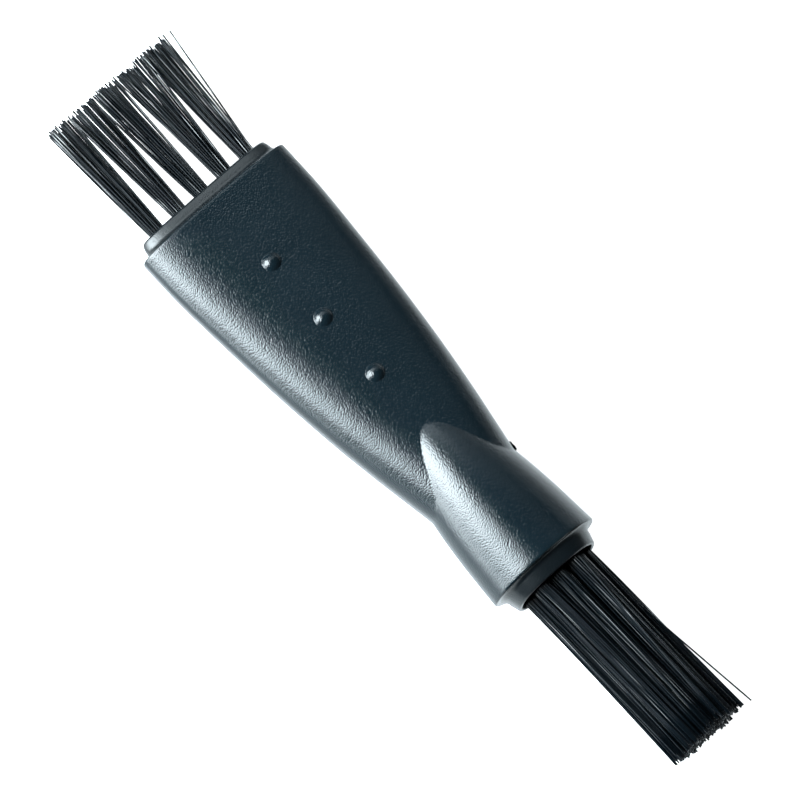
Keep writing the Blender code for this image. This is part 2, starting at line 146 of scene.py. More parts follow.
class Finish:
    """A material, built node by node from the Principled shader back to its textures."""

    def __init__(self, name):
        self.material = bpy.data.materials.new(name)
        self.material.use_nodes = True
        self.tree = self.material.node_tree
        self.shader = self.tree.nodes["Principled BSDF"]

    def add(self, kind, settings=None, values=None, output=0):
        """Adds a node of any kind and gives back one of its outputs."""
        node = self.tree.nodes.new(kind)
        for name, value in (settings or {}).items():
            setattr(node, name, value)
        for key, value in (values or {}).items():
            self.feed(node.inputs[key], value)
        return Wire(self, node.outputs[output])

    def feed(self, socket, value):
        if isinstance(value, Wire):
            self.tree.links.new(value.socket, socket)
        else:
            socket.default_value = value

    def surface(self, **values):
        """Sets the Principled shader: Base_Color=... goes to its socket Base Color."""
        for name, value in values.items():
            self.feed(self.shader.inputs[name.replace("_", " ")], value)
        return self.material

    def place(self):
        """Where a point of the piece is, in metres in the brush's own frame."""
        return self.add("ShaderNodeTexCoord", output="Object")

    def noise(self, place, size, detail=2.0, rough=0.5, stretch=(1.0, 1.0, 1.0)):
        """Soft random blotches from 0 to 1 whose usual size is given in metres."""
        scale = Vector(stretch) / size
        at = self.add("ShaderNodeVectorMath", {"operation": "MULTIPLY"}, {0: place, 1: scale})
        values = {"Vector": at, "Scale": 1.0, "Detail": detail, "Roughness": rough}
        return self.add("ShaderNodeTexNoise", {"noise_dimensions": "3D"}, values)

    def cells(self, place, size):
        """How far a point is from the middle of the nearest of many scattered cells, in cell sizes."""
        at = self.add("ShaderNodeVectorMath", {"operation": "SCALE"}, {0: place, "Scale": 1 / size})
        settings = {"voronoi_dimensions": "3D", "feature": "F1"}
        values = {"Vector": at, "Scale": 1.0, "Randomness": 1.0}
        return self.add("ShaderNodeTexVoronoi", settings, values, output="Distance")

    def ramp(self, value, low, high):
        """0 at low, 1 at high and soft in between."""
        settings = {"interpolation_type": "SMOOTHSTEP"}
        values = {"Value": value, "From Min": low, "From Max": high}
        return self.add("ShaderNodeMapRange", settings, values)

    def blend(self, share, first, second):
        """A colour between two colours."""
        settings = {"data_type": "RGBA"}
        # a Mix node has sockets for every kind of value: 6 and 7 take colours, and output 2 gives one
        return self.add("ShaderNodeMix", settings, {0: share, 6: first, 7: second}, output=2)

    def relief(self, height, depth):
        """Turns a height from 0 to 1 into a surface that is uneven by depth, in metres."""
        values = {"Height": height, "Distance": depth, "Strength": 1.0}
        return self.add("ShaderNodeBump", {}, values)


print("shader helper ready")

# %% [markdown]
# ## Black plastic
# The handle is moulded in black plastic from a tool whose steel was eaten by sparks, which leaves a
# fine pebbled grain about a sixth of a millimetre across. Noise would make fur of it, so the pebbles
# are cells: each point asks how far it is from the nearest cell's middle, and the height falls off from
# there like a dome. In the highlight each pebble turns into a white fleck or a dark one. The collars
# came from a smoother part of the tool and have less grain. Their colour is also painted darker: that
# is painted shade of the hollow where they step in from the body.
# The colour is a cold blue black, a little uneven as on any moulding.

# %% Black plastic
WIDE_COLLAR_LENGTH = 1.5 * MM
NARROW_COLLAR_LENGTH = 1.8 * MM
wide_shoulder_x = rim_low.x + WIDE_COLLAR_LENGTH
narrow_shoulder_x = rim_high.x - NARROW_COLLAR_LENGTH

GRAIN_SIZE = 0.16 * MM
GRAIN_DEPTH = 0.018 * MM
COLLAR_GRAIN_SHARE = 0.6
COLLAR_FADE = 0.15 * MM
WAVE_SIZE = 1.3 * MM
WAVE_SHARE = 0.6
PLASTIC_TONE_SIZE = 6 * MM
PLASTIC_TONE_FINENESS = 0.6
PLASTIC_DARK = (0.0020, 0.0058, 0.0084, 1.0)
PLASTIC_PALE = (0.0034, 0.0086, 0.0120, 1.0)
# painted shade: the collars get a darker colour for the hollow where they step in from the body
COLLAR_PAINTED_SHADE = (0.0012, 0.0030, 0.0042, 1.0)
PLASTIC_ROUGHNESS = 0.12
PLASTIC_ROUGHNESS_PLAY = 0.05
SMOOTHED_GRAIN_ROUGHNESS = 0.35
PLASTIC_IOR = 1.5


def make_plastic():
    finish = Finish("black_plastic")
    place = finish.place()
    along = finish.add("ShaderNodeSeparateXYZ", {}, {0: place}, output="X")
    after_wide = finish.ramp(along, wide_shoulder_x - COLLAR_FADE, wide_shoulder_x + COLLAR_FADE)
    in_narrow = finish.ramp(along, narrow_shoulder_x - COLLAR_FADE, narrow_shoulder_x + COLLAR_FADE)
    before_narrow = 1 - in_narrow
    on_body = after_wide * before_narrow
    body = on_body * (1 - COLLAR_GRAIN_SHARE) + COLLAR_GRAIN_SHARE
    away = finish.cells(place, GRAIN_SIZE)
    pebbles = 1 - away * away
    waves = finish.noise(place, WAVE_SIZE, detail=1.0)
    tone = finish.noise(place, PLASTIC_TONE_SIZE, detail=3.0, rough=PLASTIC_TONE_FINENESS)
    height = pebbles * body + waves * WAVE_SHARE
    grained = finish.blend(tone, PLASTIC_DARK, PLASTIC_PALE)
    # the collars take the darker colour here, which is painted shade
    color = finish.blend(on_body, COLLAR_PAINTED_SHADE, grained)
    roughness = PLASTIC_ROUGHNESS + tone * PLASTIC_ROUGHNESS_PLAY
    roughness = roughness + (1 - body) * SMOOTHED_GRAIN_ROUGHNESS
    relief = finish.relief(height, GRAIN_DEPTH)
    return finish.surface(Base_Color=color, Roughness=roughness, Normal=relief, IOR=PLASTIC_IOR)


plastic = make_plastic()
print("plastic with", len(plastic.node_tree.nodes), "nodes")

# %% [markdown]
# ## The handle's outline
# The paddle and the barrel are both lofts: a rounded section, squarer than an ellipse, that changes
# its width and height on the way. Read as "how far does the section reach in this direction", both
# can be laid over each other, and the longer reach is the skin. That is how the barrel's round nose
# comes out of the paddle. The widths and heights are the measured model's. Only the barrel's section
# is a little rounder than there, because the photo's highlight runs over it slowly.

# %% The sections
PADDLE_LENGTH = 37.05 * MM
PADDLE_WIDTH = 18.0 * MM
WAIST_WIDTH = 10.75 * MM
PADDLE_END_THICKNESS = 5.0 * MM
PADDLE_WAIST_THICKNESS = 7.1 * MM
PADDLE_END_SQUARENESS = 3.0
PADDLE_WAIST_SQUARENESS = 2.4
# each pair: way from the wide shoulder to the waist, way from the waist's width to the end's
PADDLE_OUTLINE_SHARES = (
    (0.0, 1.0), (0.143, 0.983), (0.302, 0.883), (0.49, 0.733), (0.679, 0.521),
    (0.828, 0.3), (0.936, 0.112), (1.0, 0.0), (1.12, -0.19),
)
BARREL_LENGTH = 10.6 * MM
BARREL_WAIST_WIDTH = 11.24 * MM
BARREL_WAIST_HEIGHT = 9.0 * MM
BARREL_END_WIDTH = 12.57 * MM
BARREL_END_HEIGHT = 9.6 * MM
BARREL_SQUARENESS = 2.0
NOSE_LENGTH = 18.4 * MM
NOSE_END_GAP = 2.5 * MM
NOSE_WIDTH_POWER = 2.3
NOSE_HEIGHT_POWER = 2.9
# the nose stops just short of a point, where its section would have no size
NOSE_SHRINK_LIMIT = 0.999
SHOULDER_GAP = PADDLE_LENGTH + BARREL_LENGTH
NOSE_FULL = SHOULDER_GAP - NOSE_END_GAP


def smooth_value(points, at):
    """Reads a smooth curve through the points, each a pair of place and value."""
    places, values = np.array(points).T
    order = np.arange(len(places))
    low = np.maximum(order - 1, 0)
    high = np.minimum(order + 1, len(places) - 1)
    slopes = (values[high] - values[low]) / (places[high] - places[low])
    i = np.clip(np.searchsorted(places, at) - 1, 0, len(places) - 2)
    span = places[i + 1] - places[i]
    t = (at - places[i]) / span
    start = (2 * t**3 - 3 * t**2 + 1) * values[i] + (t**3 - 2 * t**2 + t) * span * slopes[i]
    return start + (3 * t**2 - 2 * t**3) * values[i + 1] + (t**3 - t**2) * span * slopes[i + 1]


def section_reach(turn, half_width, half_height, squareness):
    """How far a rounded section reaches from its middle in a direction."""
    across = np.abs(np.cos(turn)) / half_width
    upward = np.abs(np.sin(turn)) / half_height
    return (across**squareness + upward**squareness) ** (-1 / squareness)


def paddle_section(x, inset=0.0):
    """Half width, half height and squareness, x counted from the wide shoulder."""
    way = x / PADDLE_LENGTH
    share = smooth_value(PADDLE_OUTLINE_SHARES, way)
    half_width = (WAIST_WIDTH + (PADDLE_WIDTH - WAIST_WIDTH) * share) / 2
    half_height = (PADDLE_END_THICKNESS + (PADDLE_WAIST_THICKNESS - PADDLE_END_THICKNESS) * way) / 2
    squareness = PADDLE_END_SQUARENESS + (PADDLE_WAIST_SQUARENESS - PADDLE_END_SQUARENESS) * way
    return half_width - inset, half_height - inset, squareness


def barrel_section(x, inset=0.0):
    way = (x - PADDLE_LENGTH) / BARREL_LENGTH
    half_width = (BARREL_WAIST_WIDTH + (BARREL_END_WIDTH - BARREL_WAIST_WIDTH) * way) / 2
    half_height = (BARREL_WAIST_HEIGHT + (BARREL_END_HEIGHT - BARREL_WAIST_HEIGHT) * way) / 2
    back = np.clip((NOSE_FULL - x) / NOSE_LENGTH, 0, NOSE_SHRINK_LIMIT)
    half_width = half_width * (1 - back**NOSE_WIDTH_POWER) ** (1 / NOSE_WIDTH_POWER)
    half_height = half_height * (1 - back**NOSE_HEIGHT_POWER) ** (1 / NOSE_HEIGHT_POWER)
    return half_width - inset, half_height - inset, BARREL_SQUARENESS


end_and_waist = [paddle_section(x)[0] / MM for x in (0, PADDLE_LENGTH)]
print("paddle's half width at the end and the waist", [round(v, 2) for v in end_and_waist], "mm")

# %% [markdown]
# ## The skin's grid
# Where the nose meets the paddle there is a crease with a small fillet. A plain grid would run across
# it in steps, and the highlight would show every step. So each line along the handle looks for its
# own crossing first, and the grid's rows are then bent to follow the crease, close together there and
# wider apart elsewhere. A hair-fine ridge on both sides is the mould's parting line.

# %% The skin between the shoulders
COLUMNS = 256
PADDLE_ROWS = 150
BARREL_ROWS = 46
CREASE_ROWS = 13
CREASE_WIDTH = 0.22 * MM
CREASE_BAND = 1.6
# the crease is looked for between these shares of the paddle's length
CREASE_SEARCH = (0.75, 1.1)
CREASE_HALVINGS = 40
SLOPE_STEP = 0.05 * MM
PADDLE_EDGE_RADIUS = 0.2 * MM
BARREL_EDGE_RADIUS = 0.2 * MM
RIDGE_HEIGHT = 0.018 * MM
RIDGE_WIDTH = 0.06 * MM


def column_turns(x):
    """The direction of every column at x, closer together where the section bends more."""
    half_width, half_height, _ = paddle_section(np.minimum(x, PADDLE_LENGTH))
    step = math.tau / COLUMNS
    around = (np.arange(COLUMNS) + 0.5) * step
    return np.arctan2(half_height / half_width * np.sin(around), np.cos(around))


def paddle_reach(x):
    return section_reach(column_turns(x), *paddle_section(x))


def barrel_reach(x):
    return section_reach(column_turns(x), *barrel_section(x))


def find_crease():
    """Halves the stretch in which each column's barrel overtakes its paddle, again and again."""
    low = np.full(COLUMNS, PADDLE_LENGTH * CREASE_SEARCH[0])
    high = np.full(COLUMNS, PADDLE_LENGTH * CREASE_SEARCH[1])
    for _ in range(CREASE_HALVINGS):
        half = (low + high) / 2
        outside = barrel_reach(half) > paddle_reach(half)
        high = np.where(outside, half, high)
        low = np.where(outside, low, half)
    return (low + high) / 2


crease = find_crease()
just_after = crease + SLOPE_STEP
crease_slope = (barrel_reach(just_after) - paddle_reach(just_after)) / SLOPE_STEP
print("the crease runs from", round(crease.min() / MM, 2), "to", round(crease.max() / MM, 2), "mm")


def skin_row(x):
    """One row of the grid: both bodies' reach, joined by a fillet where they are alike."""
    paddle, barrel = paddle_reach(x), barrel_reach(x)
    fillet = CREASE_WIDTH * crease_slope
    share = np.clip(0.5 + 0.5 * (barrel - paddle) / fillet, 0, 1)
    reach = paddle + (barrel - paddle) * share + fillet * share * (1 - share)
    turn = column_turns(x)
    side = reach * np.sin(turn) / RIDGE_WIDTH
    reach = reach + RIDGE_HEIGHT * np.exp(-side**2)
    return np.stack([x, reach * np.cos(turn), reach * np.sin(turn)], axis=1)


def skin_rows():
    before = crease - CREASE_BAND * CREASE_WIDTH
    after = crease + CREASE_BAND * CREASE_WIDTH
    rows = []
    for way in np.linspace(0, 1, PADDLE_ROWS, endpoint=False)[1:]:
        rows.append(skin_row(PADDLE_EDGE_RADIUS + (before - PADDLE_EDGE_RADIUS) * way))
    for way in np.linspace(0, 1, CREASE_ROWS):
        rows.append(skin_row(before + (after - before) * way))
    end = SHOULDER_GAP - BARREL_EDGE_RADIUS
    for way in np.linspace(0, 1, BARREL_ROWS, endpoint=False)[1:]:
        rows.append(skin_row(after + (end - after) * way))
    return rows


body_rows = skin_rows()
print(len(body_rows), "rows of", COLUMNS, "points")

# %% [markdown]
# ## Shoulders and collars
# At both ends the body stops in a flat shoulder and a smaller collar goes on. Every outer edge is
# slightly rounded, because moulds have no sharp corners, and a rounded edge is what catches a thin
# line of light. The neck between shoulder and collar is a hollow curve. The rows continue over all of
# it, with two close together on each side of a flat so that the flat stays flat in the light.

# %% Rows round the ends
ROUND_STEPS = 6
HOLD = 0.03 * MM
WIDE_LIP_RADIUS = 0.35 * MM
NARROW_LIP_RADIUS = 0.22 * MM
WIDE_COLLAR_WIDTH = 15.7 * MM
WIDE_COLLAR_HEIGHT = 3.3 * MM
WIDE_COLLAR_SQUARENESS = 3.2
WIDE_COLLAR_TAPER = 0.1 * MM
WIDE_ROOT = (0.85 * MM, 0.5 * MM, 0.45 * MM)
NARROW_COLLAR_WIDTH = 9.71 * MM
NARROW_COLLAR_HEIGHT = 7.6 * MM
NARROW_COLLAR_SQUARENESS = 2.5
NARROW_COLLAR_TAPER = 0.25 * MM
NARROW_ROOT = (0.75 * MM, 0.7 * MM, 0.42 * MM)
MOUTH_WALL = 0.4 * MM
MOUTH_DEPTH = 0.8 * MM
MOUTH_LIP_RADIUS = 0.1 * MM
MOUTH_ROOT_RADIUS = 0.15 * MM


def quarter_round():
    """Pairs of run and inset along an edge rounding of radius 1, from the end face to the side."""
    turns = [math.pi / 2 * k / ROUND_STEPS for k in range(ROUND_STEPS + 1)]
    return [(1 - math.cos(turn), 1 - math.sin(turn)) for turn in turns]


def flat_row(x, half_width, half_height, squareness, turn_at=0.0):
    turn = column_turns(np.full(COLUMNS, turn_at))
    reach = section_reach(turn, half_width, half_height, squareness)
    return np.stack([np.full(COLUMNS, x), reach * np.cos(turn), reach * np.sin(turn)], axis=1)


def collar_rows(width, height, squareness, length, lip, taper, root, turn_at):
    """From the rim to the shoulder, at x from minus its length to zero."""
    rows = []
    half_width, half_height = width / 2, height / 2
    inner = lip + HOLD
    rows.append(flat_row(-length, half_width - inner, half_height - inner, squareness, turn_at))
    for run, inset in quarter_round():
        row = (half_width - lip * inset, half_height - lip * inset, squareness, turn_at)
        rows.append(flat_row(-length + lip * run, *row))
    root_run, root_side, root_face = root
    for run, rise in reversed(quarter_round()):
        row = (half_width + taper + root_side * rise, half_height + taper + root_face * rise)
        rows.append(flat_row(-root_run * run, *row, squareness, turn_at))
    row = (half_width + taper + root_side + HOLD, half_height + taper + root_face + HOLD)
    rows.append(flat_row(0.0, *row, squareness, turn_at))
    return rows


def wide_end_rows():
    sizes = (WIDE_COLLAR_WIDTH, WIDE_COLLAR_HEIGHT, WIDE_COLLAR_SQUARENESS, WIDE_COLLAR_LENGTH)
    rows = collar_rows(*sizes, WIDE_LIP_RADIUS, WIDE_COLLAR_TAPER, WIDE_ROOT, 0.0)
    rows.append(flat_row(0.0, *paddle_section(0.0, PADDLE_EDGE_RADIUS + HOLD)))
    for run, inset in quarter_round():
        x = PADDLE_EDGE_RADIUS * run
        rows.append(flat_row(x, *paddle_section(x, PADDLE_EDGE_RADIUS * inset), x))
    return rows


def narrow_end_rows():
    rows = []
    for run, inset in reversed(quarter_round()):
        x = SHOULDER_GAP - BARREL_EDGE_RADIUS * run
        rows.append(flat_row(x, *barrel_section(x, BARREL_EDGE_RADIUS * inset), PADDLE_LENGTH))
    inner = BARREL_EDGE_RADIUS + HOLD
    rows.append(flat_row(SHOULDER_GAP, *barrel_section(SHOULDER_GAP, inner), PADDLE_LENGTH))
    sizes = (NARROW_COLLAR_WIDTH, NARROW_COLLAR_HEIGHT, NARROW_COLLAR_SQUARENESS, NARROW_COLLAR_LENGTH)
    collar = collar_rows(*sizes, NARROW_LIP_RADIUS, NARROW_COLLAR_TAPER, NARROW_ROOT, PADDLE_LENGTH)
    for row in reversed(collar):
        rows.append(row * (-1, 1, 1) + (SHOULDER_GAP, 0, 0))
    return rows + mouth_rows()


def mouth_rows():
    """Over the rim and down the wall of the shallow pocket that the bundle stands in."""
    rows = []
    rim = SHOULDER_GAP + NARROW_COLLAR_LENGTH
    half_width = NARROW_COLLAR_WIDTH / 2 - MOUTH_WALL
    half_height = NARROW_COLLAR_HEIGHT / 2 - MOUTH_WALL
    for run, inset in quarter_round():
        out = MOUTH_LIP_RADIUS * inset
        row = (half_width + out, half_height + out, NARROW_COLLAR_SQUARENESS, PADDLE_LENGTH)
        rows.append(flat_row(rim - MOUTH_LIP_RADIUS * run, *row))
    for run, inset in reversed(quarter_round()):
        back = MOUTH_ROOT_RADIUS * inset
        row = (half_width - back, half_height - back, NARROW_COLLAR_SQUARENESS, PADDLE_LENGTH)
        rows.append(flat_row(rim - MOUTH_DEPTH + MOUTH_ROOT_RADIUS * run, *row))
    inner = MOUTH_ROOT_RADIUS + HOLD
    row = (half_width - inner, half_height - inner, NARROW_COLLAR_SQUARENESS, PADDLE_LENGTH)
    rows.append(flat_row(rim - MOUTH_DEPTH, *row))
    return rows


all_rows = wide_end_rows() + body_rows + narrow_end_rows()
print(len(all_rows), "rows from rim to pocket")

# %% [markdown]
# ## Tuft holes
# Each tuft sits in a blind hole in the plastic, and there are fifteen of them. The flat rim and the
# flat pocket floor are filled with triangles round the mouths of the holes, and each hole then runs
# in as a real cup with a slightly rounded mouth, so nothing behind the bristles is only painted on.

# %% Places of the tufts
HOLE_DIAMETER = 1.86 * MM
HOLE_DEPTH = 6.0 * MM
HOLE_LIP = 0.06 * MM
# rings of the rounded mouth after the first, in shares of the lip: how deep, and how far out they lie
HOLE_LIP_RINGS = ((0.3, 0.25), (1.0, 0.0))
HOLE_POINTS = 24
WIDE_TUFTS = 5
WIDE_TUFT_PITCH = 2.9 * MM
NARROW_TUFT_ROWS = (3, 4, 3)
NARROW_TUFT_PITCH = 2.15 * MM
NARROW_ROW_PITCH = 1.9 * MM


def wide_places():
    return [(WIDE_TUFT_PITCH * (k - (WIDE_TUFTS - 1) / 2), 0.0) for k in range(WIDE_TUFTS)]


def narrow_places():
    places = []
    middle_row = (len(NARROW_TUFT_ROWS) - 1) / 2
    for row, count in enumerate(NARROW_TUFT_ROWS):
        z = NARROW_ROW_PITCH * (middle_row - row)
        for k in range(count):
            places.append((NARROW_TUFT_PITCH * (k - (count - 1) / 2), z))
    return places


print(len(wide_places()), "wide tufts and", len(narrow_places()), "narrow ones")


# %% The handle's mesh
FILL_INSIDE = 1
FILL_TOLERANCE = 1e-6


def add_ring(work, x, y, z, radius):
    turns = [math.tau * (k + 0.5) / HOLE_POINTS for k in range(HOLE_POINTS)]
    return [work.verts.new((x, y + radius * math.cos(a), z + radius * math.sin(a))) for a in turns]


def join_rows(work, near, far):
    count = len(near)
    for k in range(count):
        following = (k + 1) % count
        work.faces.new((near[k], near[following], far[following], far[k]))


def add_hole(work, mouth, inward, y, z):
    """A cup with a rounded mouth. Returns the mouth's ring, which the end face joins."""
    radius = HOLE_DIAMETER / 2
    rings = [add_ring(work, mouth, y, z, radius + HOLE_LIP)]
    for depth, size in HOLE_LIP_RINGS:
        rings.append(add_ring(work, mouth + inward * HOLE_LIP * depth, y, z, radius + HOLE_LIP * size))
    rings.append(add_ring(work, mouth + inward * (HOLE_DEPTH - HOLE_LIP), y, z, radius))
    rings.append(add_ring(work, mouth + inward * HOLE_DEPTH, y, z, radius - HOLE_LIP))
    for near, far in zip(rings, rings[1:]):
        join_rows(work, near, far)
    work.faces.new(rings[-1])
    return rings[0]


def fill_end(work, edge, mouth, inward, places):
    """Fills an end face with triangles, round the mouths of its tuft holes."""
    loops = [edge] + [add_hole(work, mouth, inward, y, z) for y, z in places]
    verts = [v for loop in loops for v in loop]
    points = [Vector((v.co.y, v.co.z)) / MM for v in verts]
    numbers = []
    for loop in loops:
        first = sum(len(n) for n in numbers)
        numbers.append(list(range(first, first + len(loop))))
    filled = delaunay_2d_cdt(points, [], numbers, FILL_INSIDE, FILL_TOLERANCE)
    _, _, triangles, origins, _, inside = filled
    # a triangle inside the edge alone is face, and one inside a hole's ring as well is left open
    for triangle, loops_round_it in zip(triangles, inside):
        if len(loops_round_it) == 1:
            work.faces.new([verts[origins[k][0]] for k in triangle])


def handle_body():
    work = bmesh.new()
    rows = [[work.verts.new(p) for p in row] for row in all_rows]
    for near, far in zip(rows, rows[1:]):
        join_rows(work, near, far)
    fill_end(work, rows[0], -WIDE_COLLAR_LENGTH, 1, wide_places())
    floor = SHOULDER_GAP + NARROW_COLLAR_LENGTH - MOUTH_DEPTH
    fill_end(work, rows[-1], floor, -1, narrow_places())
    return work


def new_piece(name, work, finish=None):
    """Moves a mesh from the wide shoulder to the brush's own frame and makes an object of it."""
    bmesh.ops.translate(work, verts=work.verts, vec=Vector((wide_shoulder_x, 0, 0)))
    bmesh.ops.recalc_face_normals(work, faces=work.faces)
    mesh = bpy.data.meshes.new(name)
    work.to_mesh(mesh)
    work.free()
    mesh.shade_smooth()
    if finish:
        mesh.materials.append(finish)
    piece = bpy.data.objects.new(name, mesh)
    bpy.context.scene.collection.objects.link(piece)
    return piece


handle = new_piece("brush_handle", handle_body(), plastic)
print("handle body has", len(handle.data.polygons), "faces")

# %% [markdown]
# ## Grip dots and gate mark
# Three small domes on the paddle keep a finger from slipping. Each is turned from one profile: a cap
# of a ball, then a short hollow curve that runs out on the paddle. On one side of the waist the plastic
# entered the mould, and the torn-off sprue left a small rough stub. All are joined to the body by a
# Boolean union, which leaves one closed skin.

# %% Dots and gate
DOT_COUNT = 3
DOT_PITCH = 7.45 * MM
DOT_FIRST = 8.6 * MM
DOT_DIAMETER = 1.95 * MM
DOT_HEIGHT = 0.45 * MM
DOT_SINK = 0.5 * MM
DOT_FOOT = 0.08 * MM
DOT_CAP_SHARE = 0.93
DOT_SEAT = 0.01 * MM
DOT_POINTS = 48
DOT_RINGS = 12
DOT_FOOT_RINGS = 6
GATE_LENGTH = 1.1 * MM
GATE_STAND = 0.25 * MM
GATE_HEIGHT = 0.5 * MM
GATE_SINK = 0.5 * MM
GATE_BOXINESS = 0.62
# the torn end, in shares of the stub's half size: its level, a wave over it and small chips
GATE_TORN_LEVEL = 0.72
GATE_TORN_WAVE = 0.10
GATE_TORN_WAVE_RATE = 7
GATE_TORN_CHIPS = 0.03
GATE_FULL_STAND = 0.78
GATE_SEED = 5
SHARP_EDGE = math.radians(40)


def dot_profile():
    """Radius and height of the dome's profile, from the crown outwards."""
    foot = DOT_DIAMETER / 2
    ball = (foot**2 + DOT_HEIGHT**2) / (2 * DOT_HEIGHT)
    steep = math.asin(foot / ball) * DOT_CAP_SHARE
    profile = []
    for k in range(DOT_RINGS + 1):
        turn = steep * k / DOT_RINGS
        profile.append((ball * math.sin(turn), DOT_HEIGHT - ball * (1 - math.cos(turn))))
    edge_radius, edge_height = profile[-1]
    for k in range(1, DOT_FOOT_RINGS):
        turn = steep * (1 - k / DOT_FOOT_RINGS)
        out = DOT_FOOT * (math.sin(steep) - math.sin(turn))
        down = DOT_FOOT * (math.cos(turn) - math.cos(steep))
        profile.append((edge_radius + out, edge_height - down))
    return profile


def dots_form():
    work = bmesh.new()
    profile = dot_profile()
    for number in range(DOT_COUNT):
        x = DOT_FIRST + DOT_PITCH * number
        level = paddle_section(x)[1] - max(profile[-1][1], 0.0) - DOT_SEAT
        rings = []
        for radius, height in profile[1:] + [(profile[-1][0], profile[-1][1] - DOT_SINK)]:
            turns = [math.tau * k / DOT_POINTS for k in range(DOT_POINTS)]
            ring = [(x + radius * math.cos(a), radius * math.sin(a), level + height) for a in turns]
            rings.append([work.verts.new(p) for p in ring])
        for near, far in zip(rings, rings[1:]):
            join_rows(work, near, far)
        crown = work.verts.new((x, 0, level + DOT_HEIGHT))
        for k in range(DOT_POINTS):
            work.faces.new((crown, rings[0][k], rings[0][(k + 1) % DOT_POINTS]))
        work.faces.new(rings[-1])
    return work


def gate_form():
    """A rounded stub with an uneven torn end."""
    work = bmesh.new()
    bmesh.ops.create_uvsphere(work, u_segments=32, v_segments=16, radius=1.0)
    rng = random.Random(GATE_SEED)
    skin = paddle_section(PADDLE_LENGTH)[0]
    for v in work.verts:
        boxy = [math.copysign(abs(c) ** GATE_BOXINESS, c) for c in v.co]
        torn = GATE_TORN_LEVEL + GATE_TORN_WAVE * math.sin(boxy[0] * GATE_TORN_WAVE_RATE)
        stand = min(boxy[1], torn + rng.uniform(-GATE_TORN_CHIPS, GATE_TORN_CHIPS))
        depth = GATE_STAND if stand > 0 else GATE_SINK
        v.co.x = PADDLE_LENGTH + boxy[0] * GATE_LENGTH / 2
        v.co.y = skin + stand / GATE_FULL_STAND * depth
        v.co.z = boxy[2] * GATE_HEIGHT / 2
    return work


def join_forms(body, forms):
    """Unites the forms with the body and leaves one plain mesh."""
    tools = []
    for name, work in forms:
        tool = new_piece(name, work)
        union = body.modifiers.new(name, "BOOLEAN")
        union.operation = "UNION"
        union.solver = "EXACT"
        union.object = tool
        tools.append(tool)
    shown = body.evaluated_get(bpy.context.evaluated_depsgraph_get())
    mesh = bpy.data.meshes.new_from_object(shown)
    body.modifiers.clear()
    body.data = mesh
    for tool in tools:
        bpy.data.objects.remove(tool, do_unlink=True)
    mesh.shade_smooth()
    mesh.set_sharp_from_angle(angle=SHARP_EDGE)


join_forms(handle, [("dots", dots_form()), ("gate", gate_form())])
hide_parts("handle")
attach(handle, "root")
print("finished handle has", len(handle.data.polygons), "faces")

# %% [markdown]
# ## Nylon
# The bristles are drawn nylon filaments, dyed black and glossy. Lit from one side, each shows one thin
# bright streak along its length. In the photo only some of them do, and the rest stay black, so the
# base has a weak gloss, and a clear coat is laid on by a noise that is stretched out along the
# filaments: it reaches a few of them along most of their length.

# %% Nylon
NYLON_DARK = (0.0012, 0.0024, 0.0036, 1.0)
NYLON_PALE = (0.0030, 0.0050, 0.0068, 1.0)
NYLON_TONE_SIZE = 0.9 * MM
NYLON_TONE_STRETCH = (0.25, 1.0, 1.0)
NYLON_ROUGHNESS = 0.14
NYLON_ROUGHNESS_PLAY = 0.06
NYLON_IOR = 1.53
NYLON_GLOSS_LEVEL = 0.09
STREAK_SIZE = 0.30 * MM
STREAK_STRETCH = (0.02, 1.0, 1.0)
# noise values at which the clear coat of a streak begins and is full
STREAK_FROM = 0.56
STREAK_FULL = 0.68
STREAK_ROUGHNESS = 0.05
STREAK_IOR = 1.6


def make_nylon():
    finish = Finish("black_nylon")
    place = finish.place()
    tone = finish.noise(place, NYLON_TONE_SIZE, detail=2.0, stretch=NYLON_TONE_STRETCH)
    color = finish.blend(tone, NYLON_DARK, NYLON_PALE)
    roughness = NYLON_ROUGHNESS + tone * NYLON_ROUGHNESS_PLAY
    picked = finish.noise(place, STREAK_SIZE, detail=1.0, stretch=STREAK_STRETCH)
    coat = finish.ramp(picked, STREAK_FROM, STREAK_FULL)
    finish.surface(IOR=NYLON_IOR, Specular_IOR_Level=NYLON_GLOSS_LEVEL)
    finish.surface(Coat_Roughness=STREAK_ROUGHNESS, Coat_IOR=STREAK_IOR)
    return finish.surface(Base_Color=color, Roughness=roughness, Coat_Weight=coat)


nylon = make_nylon()
print("nylon with", len(nylon.node_tree.nodes), "nodes")

# %% [markdown]
# ## Bristles
# A tuft is made from half as many filaments as it shows: each one is folded in the middle round a flat
# metal anchor, and the fold is pushed into the hole, so both its ends stand out as bristles. Here each
# filament is a thin round tube along such a folded line. The ends fan out a little, each has its own
# small bend, and the cut is not quite even. Every random number comes from a numbered seed, so the
# brush is the same each time.

# %% Packing filaments in a hole
FILAMENT_DIAMETER = 0.185 * MM
WIDE_FILAMENT_PITCH = 0.255 * MM
NARROW_FILAMENT_PITCH = 0.215 * MM
FILAMENT_SIDES = 6
# a row of the packing is set off by a share of the pitch, and tried this many steps to each side
PACKING_SHIFT = 0.25
PACKING_STEPS = 10
ANCHOR_SIDE = 0.13 * MM
ANCHOR_OUTER_DEPTH = 4.04 * MM
ANCHOR_DRIVEN_DEPTH = 5.34 * MM


